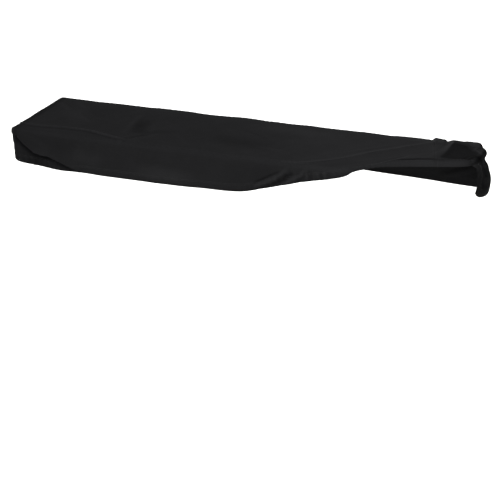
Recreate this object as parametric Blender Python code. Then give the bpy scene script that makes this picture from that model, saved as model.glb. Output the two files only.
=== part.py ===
"""Stretch dust cover for an 88-key piano, hollow, with its front right corner drawn back.

Five cut pieces of black knit are sewn edge to edge: a top panel, a front and a back skirt, and
two end pieces. The cloth is laid on a box form with rounded edges. A place on the cloth is given
unrolled, as x along the length and across, which counts from the front top edge: below 0 it runs
down the front, from 0 to the depth over the top, and past the depth down the back. Past the ends
of the form x runs on down the end faces.
"""

import math
from collections import namedtuple

import bmesh
import bpy
from mathutils import Vector

# Driving dimensions in metres. The origin is under the middle of the top panel.
LENGTH = 1.317
DEPTH = 0.279
CLOTH = 0.0015
SEAM_GAP = 0.0006
TUCK_GAP = 0.0015
EDGE_RADIUS = 0.008
HEM_BAND = 0.025
SKIRT_AT_CORNER = 0.093

# The form's mid-cloth faces
HALF_LENGTH = (LENGTH - CLOTH) / 2
HALF_DEPTH = (DEPTH - CLOTH) / 2
TOP = CLOTH / 2
BACK = 2 * HALF_DEPTH
END = HALF_LENGTH

# Mesh fineness. The skirts and end pieces share SKIRT_ROWS rows at their corners, and the front
# skirt and the right end piece have UPPER_ROWS more.
SKIRT_ROWS = 11
UPPER_ROWS = 5
TOP_ROWS = 14
STATION_STEP = 0.026
EDGE_WEIGHT = 2.5
PATH_SAMPLES = 60

# The front skirt from the left end to its right seam. The hem is level at the left, rises up the
# front from x = 0.04 and crosses to the top at x = 0.38. The seam to the top panel lies on the top
# at the left, falls to the front edge and then climbs to the back edge. back_x is the place on the
# back edge that the top panel joins to.
Front = namedtuple("Front", "hem_x hem_across seam_x seam_across back_x")
FRONT = (
    Front(-END, -SKIRT_AT_CORNER, -END, SKIRT_AT_CORNER * UPPER_ROWS / SKIRT_ROWS, -END),
    Front(-0.640, -0.094, -0.640, 0.043, -0.640),
    Front(-0.585, -0.097, -0.585, 0.045, -0.585),
    Front(-0.500, -0.101, -0.500, 0.051, -0.500),
    Front(-0.435, -0.103, -0.435, 0.050, -0.440),
    Front(-0.375, -0.104, -0.375, 0.037, -0.380),
    Front(-0.315, -0.105, -0.315, 0.023, -0.320),
    Front(-0.220, -0.105, -0.220, 0.008, -0.225),
    Front(-0.070, -0.103, -0.070, 0.004, -0.080),
    Front(0.042, -0.100, 0.045, 0.003, 0.030),
    Front(0.111, -0.084, 0.115, 0.004, 0.095),
    Front(0.183, -0.058, 0.190, 0.007, 0.165),
    Front(0.257, -0.039, 0.252, 0.034, 0.230),
    Front(0.313, -0.029, 0.305, 0.079, 0.290),
    Front(0.365, -0.009, 0.347, 0.127, 0.345),
    Front(0.403, 0.024, 0.385, 0.165, 0.400),
    Front(0.440, 0.050, 0.425, 0.204, 0.450),
    Front(0.500, 0.074, 0.468, 0.238, 0.495),
    Front(0.572, 0.100, 0.512, 0.266, 0.530),
)

# The right end piece from the front skirt's seam round to the back corner. The hem crosses the
# top, goes over the end and down to the tip of the lobe. The last row is the lobe's lower edge.
Right = namedtuple("Right", "hem_x hem_across mid_x mid_across top_x top_across")
RIGHT = (
    Right(0.572, 0.100, 0.542, 0.183, 0.512, 0.266),
    Right(0.597, 0.109, 0.572, 0.195, 0.530, BACK),
    Right(0.618, 0.116, 0.600, 0.200, 0.570, BACK),
    Right(0.645, 0.128, 0.630, 0.205, 0.612, BACK),
    Right(0.662, 0.145, 0.660, 0.212, END, BACK),
    Right(0.679, 0.172, 0.684, 0.222, 0.685, BACK),
    Right(0.700, 0.183, 0.710, 0.230, 0.715, BACK),
    Right(0.723, 0.184, 0.735, 0.232, 0.742, BACK),
    Right(0.738, 0.176, 0.758, 0.230, 0.762, BACK),
    Right(0.751, 0.166, 0.780, 0.222, 0.779, BACK),
)

# How far the back skirt and the left end piece hang below the top edge
Hang = namedtuple("Hang", "place fall")
BACK_HEM = (
    Hang(-END, 0.100),
    Hang(-0.400, 0.104),
    Hang(0.100, 0.103),
    Hang(0.450, 0.112),
    Hang(END, 0.121),
)
LEFT_HEM = (
    Hang(0.0, SKIRT_AT_CORNER),
    Hang(0.100, 0.097),
    Hang(0.200, 0.100),
    Hang(BACK, 0.100),
)

# The fold at the lower left front, under which the cloth turns in
Turn = namedtuple("Turn", "x across")
TURN = (
    Turn(-END, -0.022),
    Turn(-0.638, -0.041),
    Turn(-0.613, -0.060),
    Turn(-0.590, -0.073),
    Turn(-0.545, -0.075),
    Turn(-0.510, -0.085),
    Turn(-0.485, -0.095),
    Turn(-0.440, -0.110),
)
TURN_DEPTH = 0.006
TURN_RAMP = 0.007
TURN_END_FADE = 0.040

# Main folds and hollows, each along a line between two places of the unrolled cloth
Fold = namedtuple("Fold", "name x0 across0 x1 across1 rise reach")
FOLDS = (
    Fold("left seam ridge", -0.635, 0.043, -0.440, 0.050, 0.0020, 0.012),
    Fold("left seam ridge end", -0.440, 0.050, -0.318, 0.025, 0.0020, 0.010),
    Fold("front belly", -0.300, -0.080, -0.060, -0.082, 0.0040, 0.032),
    Fold("left face hollow", -0.560, -0.030, -0.450, -0.040, -0.0025, 0.040),
    Fold("top dip", -0.370, 0.150, -0.300, 0.060, -0.0030, 0.045),
    Fold("top swell", -0.560, 0.190, -0.480, 0.110, 0.0020, 0.050),
    Fold("back swell", 0.010, 0.230, 0.250, 0.225, 0.0030, 0.045),
    Fold("middle dip", -0.080, 0.120, 0.120, 0.090, -0.0030, 0.060),
    Fold("upper rise valley", 0.098, -0.069, 0.172, -0.030, -0.0040, 0.009),
    Fold("rise ridge", 0.099, -0.079, 0.186, -0.036, 0.0060, 0.010),
    Fold("rise ridge head", 0.186, -0.036, 0.235, -0.006, 0.0050, 0.014),
    Fold("lower rise valley", 0.108, -0.083, 0.204, -0.030, -0.0040, 0.008),
    Fold("front right ridge", 0.215, 0.010, 0.315, 0.080, 0.0030, 0.014),
    Fold("long drag ridge", 0.340, 0.125, 0.475, 0.240, 0.0030, 0.014),
    Fold("drag hollow", 0.290, 0.010, 0.400, 0.105, -0.0030, 0.022),
    Fold("corner tip", 0.505, BACK, 0.530, BACK, 0.0045, 0.016),
    Fold("corner seam ridge", 0.545, 0.175, 0.514, 0.260, 0.0020, 0.010),
    Fold("left flank ridge", 0.560, 0.160, 0.556, 0.272, 0.0070, 0.012),
    Fold("end hollow", 0.590, 0.215, 0.635, 0.180, -0.0040, 0.026),
    Fold("right flank ridge", 0.594, 0.272, 0.655, 0.205, 0.0060, 0.012),
    Fold("shoulder", 0.625, 0.262, 0.640, 0.245, 0.0070, 0.034),
    Fold("neck crease", 0.664, 0.190, 0.672, 0.255, -0.0050, 0.014),
    Fold("lobe", 0.735, 0.250, 0.760, 0.235, 0.0050, 0.034),
)

# The form's back right corner, round in plan where the cloth is drawn into a neck
NECK_X = END
NECK_Y = HALF_DEPTH
NECK_Z = -0.018
NECK_RADIUS = 0.024
NECK_REACH = 0.040

# The hem: its last stretch turns in, and on the top its band stands up
CURL_IN = 0.005
CURL_REACH = 0.014
CURL_LOST = 0.7
BAND_RISE = 0.0025
BAND_EDGE = 0.006
BAND_FROM_X = 0.360
BAND_FADE = 0.080

BLACK_KNIT = (0.0135, 0.0135, 0.0140, 1.0)
KNIT_ROUGHNESS = 0.92


def level(rows, column, u):
    """A table column at a fractional row number, on straight lines between the rows."""
    i = min(int(u), len(rows) - 2)
    a = getattr(rows[i], column)
    b = getattr(rows[i + 1], column)
    return a + (u - i) * (b - a)


def smooth(rows, column, u):
    """A table column at a fractional row number, through the rows on a soft curve."""
    i = min(int(u), len(rows) - 2)
    f = u - i
    a = getattr(rows[i], column)
    b = getattr(rows[i + 1], column)
    before = getattr(rows[max(i - 1, 0)], column)
    after = getattr(rows[min(i + 2, len(rows) - 1)], column)
    low, high = min(a, b), max(a, b)
    curve = a + 0.5 * f * (b - before + f * (2 * before - 5 * a + 4 * b - after
                                             + f * (3 * (a - b) + after - before)))
    return min(max(curve, low), high)


def read(rows, place, value, at):
    """The value column of a table where its place column is at, on straight lines."""
    for a, b in zip(rows, rows[1:]):
        start, stop = getattr(a, place), getattr(b, place)
        if at <= stop or b is rows[-1]:
            f = min(max((at - start) / (stop - start), 0.0), 1.0)
            return getattr(a, value) + f * (getattr(b, value) - getattr(a, value))
    return getattr(rows[0], value)


def soft(distance, reach):
    """1 on a line and 0 at its reach, with level ends."""
    f = max(0.0, 1.0 - distance / reach)
    return f * f * (3.0 - 2.0 * f)


def on_form(x, across):
    """The point of the sharp-edged form under a place of the unrolled cloth."""
    if abs(x) > END:
        return Vector((math.copysign(END, x), across - HALF_DEPTH, TOP - (abs(x) - END)))
    if across < 0.0:
        return Vector((x, -HALF_DEPTH, TOP + across))
    if across > BACK:
        return Vector((x, HALF_DEPTH, TOP - (across - BACK)))
    return Vector((x, across - HALF_DEPTH, TOP))


def edge_radius(point):
    """The radius of the form's edges near a point."""
    away = (point - Vector((NECK_X, NECK_Y, NECK_Z))).length
    return EDGE_RADIUS + NECK_RADIUS * soft(away, NECK_REACH)


def rounded(point):
    """A sharp-edged form's point moved to its rounded edge, and the way out there."""
    radius = edge_radius(point)
    core = Vector((
        min(max(point.x, radius - HALF_LENGTH), HALF_LENGTH - radius),
        min(max(point.y, radius - HALF_DEPTH), HALF_DEPTH - radius),
        min(point.z, TOP - radius),
    ))
    out = (point - core).normalized()
    return core + out * radius, out


def from_line(point, start, end):
    """The distance of a point from a straight line between two points."""
    run = end - start
    f = min(max((point - start).dot(run) / run.length_squared, 0.0), 1.0)
    return (point - start - run * f).length


def fold_rise(point):
    """How far the folds lift the cloth off the form at a point."""
    rise = 0.0
    for fold in FOLDS:
        start = on_form(fold.x0, fold.across0)
        end = on_form(fold.x1, fold.across1)
        rise += fold.rise * soft(from_line(point, start, end), fold.reach)
    return rise


def turn_in(point):
    """How far the cloth turns in under the fold at the lower left front."""
    line = TOP + read(TURN, "x", "across", point.x)
    below = min(max((line - point.z) / TURN_RAMP, 0.0), 1.0)
    from_front = soft(point.y + HALF_DEPTH, TURN_END_FADE)
    return TURN_DEPTH * below * below * (3.0 - 2.0 * below) * from_front


def cloth_point(x, across, to_hem):
    """The middle of the cloth at a place of the unrolled cloth, and the way out there."""
    sharp = on_form(x, across)
    base, out = rounded(sharp)
    on_top = min(max((x - BAND_FROM_X) / BAND_FADE, 0.0), 1.0)
    in_band = min(max((HEM_BAND - to_hem) / BAND_EDGE, 0.0), 1.0)
    curl = CURL_IN * soft(to_hem, CURL_REACH) * (1.0 - CURL_LOST * on_top)
    lift = fold_rise(sharp) + BAND_RISE * on_top * in_band - max(turn_in(sharp), curl)
    return base + out * lift, out


def stations(rows, columns, parts_at):
    """Row numbers for the mesh's columns, with a table's steps parted as its sizes need."""
    found = [0.0]
    for i, (a, b) in enumerate(zip(rows, rows[1:])):
        span = max(abs(getattr(b, c) - getattr(a, c)) for c in columns)
        parts = parts_at.get(i, math.ceil(span / STATION_STEP))
        found += [i + (k + 1) / parts for k in range(parts)]
    return found


FRONT_STATIONS = stations(FRONT, ("hem_x", "seam_across"), {0: 3})
RIGHT_STATIONS = stations(RIGHT, ("hem_x", "top_x"), {0: 1, 3: 4, 4: 3, 5: 3, 6: 2, 7: 2, 8: 1})


def even(path, count):
    """count + 1 places along a path from hem to seam, closer together at the form's edges."""
    fine = [path(k / PATH_SAMPLES) for k in range(PATH_SAMPLES + 1)]
    total = [0.0]
    for a, b in zip(fine, fine[1:]):
        middle = on_form((a[0] + b[0]) / 2, (a[1] + b[1]) / 2)
        near = sum((
            HALF_LENGTH - abs(middle.x) < EDGE_RADIUS,
            HALF_DEPTH - abs(middle.y) < EDGE_RADIUS,
            TOP - middle.z < EDGE_RADIUS,
        ))
        weight = EDGE_WEIGHT if near > 1 else 1.0
        total.append(total[-1] + weight * math.dist(a, b))
    places = []
    k = 0
    for n in range(count + 1):
        want = total[-1] * n / count
        while k < PATH_SAMPLES - 1 and total[k + 1] < want:
            k += 1
        f = (want - total[k]) / (total[k + 1] - total[k])
        places.append(path((k + f) / PATH_SAMPLES))
    return places


def drawn_in(edge, neighbour, gap=SEAM_GAP / 2):
    """A seam's edge place drawn back from the seam by half its gap."""
    away = math.dist(edge, neighbour)
    return tuple(e + (n - e) * gap / away for e, n in zip(edge, neighbour))


def open_seams(grid, sides):
    """A panel's places, drawn back from its neighbours on the named sides."""
    grid = [list(column) for column in grid]
    if "first" in sides:
        grid[0] = [drawn_in(a, b) for a, b in zip(grid[0], grid[1])]
    if "last" in sides:
        grid[-1] = [drawn_in(a, b) for a, b in zip(grid[-1], grid[-2])]
    if "tucked" in sides:
        grid[-1] = [drawn_in(a, b, TUCK_GAP) for a, b in zip(grid[-1], grid[-2])]
    for column in grid:
        if "upper" in sides:
            column[-1] = drawn_in(column[-1], column[-2])
        if "lower" in sides:
            column[0] = drawn_in(column[0], column[1])
    return grid


def hem_distances(grid, hem_last):
    """How far each place of a panel is from its hem, along the cloth."""
    result = []
    for column in grid:
        run = [0.0]
        for a, b in zip(column, column[1:]):
            run.append(run[-1] + math.dist(a, b))
        result.append(run)
    if hem_last:
        for i, column in enumerate(grid):
            for k, place in enumerate(column):
                result[i][k] = min(result[i][k], min(math.dist(place, p) for p in grid[-1]))
    return result


def panel(name, grid, sides, hem_last=False):
    """One cut piece as a closed shell: its outer face, its inner face and its cut edges."""
    grid = open_seams(grid, sides)
    to_hem = hem_distances(grid, hem_last)
    mesh = bmesh.new()
    outer, inner = [], []
    for column, distances in zip(grid, to_hem):
        points = [cloth_point(x, across, d) for (x, across), d in zip(column, distances)]
        outer.append([mesh.verts.new(p + out * CLOTH / 2) for p, out in points])
        inner.append([mesh.verts.new(p - out * CLOTH / 2) for p, out in points])
    last, top = len(grid) - 1, len(grid[0]) - 1
    for i in range(last):
        for k in range(top):
            mesh.faces.new((outer[i][k], outer[i + 1][k], outer[i + 1][k + 1], outer[i][k + 1]))
            mesh.faces.new((inner[i][k], inner[i][k + 1], inner[i + 1][k + 1], inner[i + 1][k]))
        mesh.faces.new((outer[i][0], inner[i][0], inner[i + 1][0], outer[i + 1][0]))
        mesh.faces.new((outer[i][top], outer[i + 1][top], inner[i + 1][top], inner[i][top]))
    for k in range(top):
        mesh.faces.new((outer[0][k], outer[0][k + 1], inner[0][k + 1], inner[0][k]))
        mesh.faces.new((outer[last][k], inner[last][k], inner[last][k + 1], outer[last][k + 1]))
    bmesh.ops.recalc_face_normals(mesh, faces=mesh.faces)
    data = bpy.data.meshes.new(name)
    mesh.to_mesh(data)
    mesh.free()
    data.shade_smooth()
    data.materials.append(knit(name))
    piece = bpy.data.objects.new(name, data)
    bpy.context.collection.objects.link(piece)
    return piece


def knit(name):
    """The black knit's plain material for one piece."""
    material = bpy.data.materials.new(name + "_knit")
    material.use_nodes = True
    shader = material.node_tree.nodes["Principled BSDF"]
    shader.inputs["Base Color"].default_value = BLACK_KNIT
    shader.inputs["Roughness"].default_value = KNIT_ROUGHNESS
    shader.inputs["Metallic"].default_value = 0.0
    return material


def straight(start, end):
    """A straight path over the unrolled cloth."""
    return lambda f: tuple(a + f * (b - a) for a, b in zip(start, end))


def bowed(start, middle, end):
    """A path over the unrolled cloth that passes a middle place half-way."""
    def path(f):
        weights = ((1 - f) * (1 - 2 * f), 4 * f * (1 - f), f * (2 * f - 1))
        return tuple(sum(w * p[i] for w, p in zip(weights, (start, middle, end))) for i in (0, 1))
    return path


def front_skirt():
    """The front skirt, which lies on the top at the left and where it is drawn back."""
    grid = []
    for u in FRONT_STATIONS:
        hem = smooth(FRONT, "hem_x", u), smooth(FRONT, "hem_across", u)
        seam = smooth(FRONT, "seam_x", u), smooth(FRONT, "seam_across", u)
        grid.append(even(straight(hem, seam), SKIRT_ROWS + UPPER_ROWS))
    return panel("front_skirt", grid, ("first", "last", "upper"))


def top_panel():
    """The top panel, between the front skirt's seam and the back edge."""
    grid = []
    for u in FRONT_STATIONS:
        seam = smooth(FRONT, "seam_x", u), smooth(FRONT, "seam_across", u)
        back = smooth(FRONT, "back_x", u), BACK
        grid.append(even(straight(seam, back), TOP_ROWS))
    return panel("top_panel", grid, ("first", "tucked", "upper", "lower"))


def right_end():
    """The right end piece, drawn back over the top and hanging down the end."""
    grid = []
    for u in RIGHT_STATIONS:
        hem = smooth(RIGHT, "hem_x", u), smooth(RIGHT, "hem_across", u)
        middle = smooth(RIGHT, "mid_x", u), smooth(RIGHT, "mid_across", u)
        top = level(RIGHT, "top_x", u), level(RIGHT, "top_across", u)
        grid.append(even(bowed(hem, middle, top), SKIRT_ROWS + UPPER_ROWS))
    return panel("right_end", grid, ("first", "upper"), hem_last=True)


def back_skirt():
    """The back skirt, level at the left and lower at the right."""
    top_of_right = [level(RIGHT, "top_x", u) for u in RIGHT_STATIONS]
    places = [smooth(FRONT, "back_x", u) for u in FRONT_STATIONS]
    places += [x for x in top_of_right if places[-1] + CLOTH < x < END + CLOTH]
    falls = [x - END for x in top_of_right if x > END - CLOTH]
    grid = []
    for x in places:
        fall = read(BACK_HEM, "place", "fall", x)
        to_right = max(x, 0.0) / END
        column = []
        for k, end_fall in enumerate(reversed(falls)):
            level_share = 1 - k / SKIRT_ROWS
            share = level_share + to_right * (end_fall / falls[-1] - level_share)
            column.append((x, BACK + fall * share))
        grid.append(column)
    return panel("back_skirt", grid, ("first", "last", "upper"))


def left_end(columns=16):
    """The left end piece, from the front corner to the back one."""
    below = -END - EDGE_RADIUS * 2
    grid = []
    for _, across in even(straight((below, 0.0), (below, BACK)), columns):
        hem = -END - read(LEFT_HEM, "place", "fall", across), across
        grid.append([(hem[0] + (-END - hem[0]) * k / SKIRT_ROWS, across)
                     for k in range(SKIRT_ROWS + 1)])
    return panel("left_end", grid, ("first", "last", "upper"))


def clear_scene():
    """Removes what a new file holds."""
    for item in list(bpy.data.objects):
        bpy.data.objects.remove(item)


clear_scene()
top_panel()
front_skirt()
back_skirt()
left_end()
right_end()
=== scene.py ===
"""Black stretch-knit dust cover for a piano, with its front right corner drawn back.

Every piece is a sheet of knit laid over a box form with rounded edges. A place on the cloth is
given unrolled, in metres: x along the length, and across, which counts from the front top edge.
Below 0 across runs down the front, from 0 to the depth it runs over the top, and past the depth
down the back. Past the ends of the form x runs on down the end faces.
"""

import logging
import math
from dataclasses import dataclass, field
from enum import Enum
from typing import Callable, NamedTuple, Sequence

import bpy
import numpy as np
from mathutils import Matrix, Vector


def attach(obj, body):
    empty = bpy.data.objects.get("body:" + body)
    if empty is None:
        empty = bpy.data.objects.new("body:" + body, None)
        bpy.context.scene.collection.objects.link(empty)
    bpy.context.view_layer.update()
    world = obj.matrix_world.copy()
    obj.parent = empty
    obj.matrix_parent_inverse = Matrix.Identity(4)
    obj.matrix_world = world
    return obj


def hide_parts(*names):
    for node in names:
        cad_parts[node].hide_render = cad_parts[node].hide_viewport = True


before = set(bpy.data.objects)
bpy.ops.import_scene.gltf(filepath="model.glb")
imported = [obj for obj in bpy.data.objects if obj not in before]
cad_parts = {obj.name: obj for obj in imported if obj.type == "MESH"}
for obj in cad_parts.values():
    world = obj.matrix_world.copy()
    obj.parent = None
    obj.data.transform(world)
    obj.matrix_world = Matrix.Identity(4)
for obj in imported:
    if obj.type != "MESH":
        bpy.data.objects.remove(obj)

LOG = logging.getLogger("piano_cover")
Array = np.ndarray

# Sizes in metres
LENGTH = 1.317
DEPTH = 0.279
SKIRT_CORNER = 0.0955
CAD_CLOTH = 0.0015
EDGE_RADIUS = 0.004
END = (LENGTH - CAD_CLOTH) / 2
HALF_DEPTH = (DEPTH - CAD_CLOTH) / 2
BACK = 2 * HALF_DEPTH
TOP = CAD_CLOTH / 2


class FrontRow(NamedTuple):
    """One station of the front skirt: hem, seam to the top panel, and the back edge behind."""

    hem_x: float
    hem_across: float
    seam_x: float
    seam_across: float
    back_x: float


class RightRow(NamedTuple):
    """One station of the right end piece: hem, half-way place and top seam."""

    hem_x: float
    hem_across: float
    mid_x: float
    mid_across: float
    top_x: float
    top_across: float


class Hang(NamedTuple):
    """How far a skirt hangs below the top edge at a place along it."""

    place: float
    fall: float


class Turn(NamedTuple):
    """A place on the line at the lower left front under which the cloth turns in."""

    x: float
    across: float


FRONT = (
    FrontRow(-END, -SKIRT_CORNER, -END, 0.042, -END),
    FrontRow(-0.640, -0.1005, -0.640, 0.043, -0.640),
    FrontRow(-0.585, -0.1065, -0.585, 0.045, -0.585),
    FrontRow(-0.500, -0.1105, -0.500, 0.051, -0.500),
    FrontRow(-0.435, -0.1085, -0.435, 0.050, -0.440),
    FrontRow(-0.375, -0.1095, -0.375, 0.037, -0.380),
    FrontRow(-0.315, -0.1100, -0.315, 0.023, -0.320),
    FrontRow(-0.220, -0.1100, -0.220, 0.008, -0.225),
    FrontRow(-0.070, -0.1060, -0.070, 0.004, -0.080),
    FrontRow(0.042, -0.1020, 0.045, 0.003, 0.030),
    FrontRow(0.111, -0.086, 0.115, 0.004, 0.095),
    FrontRow(0.183, -0.0645, 0.190, 0.007, 0.165),
    FrontRow(0.257, -0.0445, 0.252, 0.018, 0.230),
    FrontRow(0.313, -0.0320, 0.305, 0.055, 0.290),
    FrontRow(0.365, -0.0135, 0.347, 0.099, 0.345),
    FrontRow(0.403, 0.026, 0.385, 0.140, 0.400),
    FrontRow(0.440, 0.053, 0.425, 0.178, 0.450),
    FrontRow(0.500, 0.077, 0.468, 0.224, 0.495),
    FrontRow(0.572, 0.100, 0.512, 0.266, 0.530),
)
RIGHT = (
    RightRow(0.572, 0.100, 0.542, 0.183, 0.512, 0.266),
    RightRow(0.597, 0.109, 0.572, 0.195, 0.530, BACK),
    RightRow(0.618, 0.116, 0.600, 0.200, 0.570, BACK),
    RightRow(0.645, 0.128, 0.630, 0.205, 0.612, BACK),
    RightRow(0.662, 0.145, 0.660, 0.212, END, BACK),
    RightRow(0.679, 0.172, 0.684, 0.222, 0.685, BACK),
    RightRow(0.700, 0.183, 0.710, 0.230, 0.715, BACK),
    RightRow(0.723, 0.184, 0.735, 0.232, 0.742, BACK),
    RightRow(0.738, 0.176, 0.758, 0.230, 0.762, BACK),
    RightRow(0.7485, 0.166, 0.7765, 0.218, 0.7675, BACK),
)
BACK_HEM = (
    Hang(-END, 0.100),
    Hang(-0.400, 0.104),
    Hang(0.100, 0.103),
    Hang(0.450, 0.112),
    Hang(0.610, 0.118),
    Hang(0.635, 0.118),
    Hang(END, 0.111),
)
LEFT_HEM = (
    Hang(0.0, SKIRT_CORNER),
    Hang(0.100, 0.097),
    Hang(0.200, 0.100),
    Hang(BACK, 0.100),
)
TURN = (
    Turn(-END, -0.010),
    Turn(-0.650, -0.016),
    Turn(-0.630, -0.038),
    Turn(-0.598, -0.062),
    Turn(-0.575, -0.068),
    Turn(-0.549, -0.069),
    Turn(-0.513, -0.081),
    Turn(-0.478, -0.095),
    Turn(-0.440, -0.107),
)


class Crest(Enum):
    """The shape of a crease's top: a soft swell, or a drawn edge."""

    SOFT = "soft"
    DRAWN = "drawn"


class Crease(NamedTuple):
    """A fold between two places of the unrolled cloth, its rise and reach in millimetres.

    ends is the share of the rise that its two ends still have.
    """

    what: str
    x0: float
    across0: float
    x1: float
    across1: float
    rise_mm: float
    reach_mm: float
    crest: Crest = Crest.SOFT
    ends: float = 0.25


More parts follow.
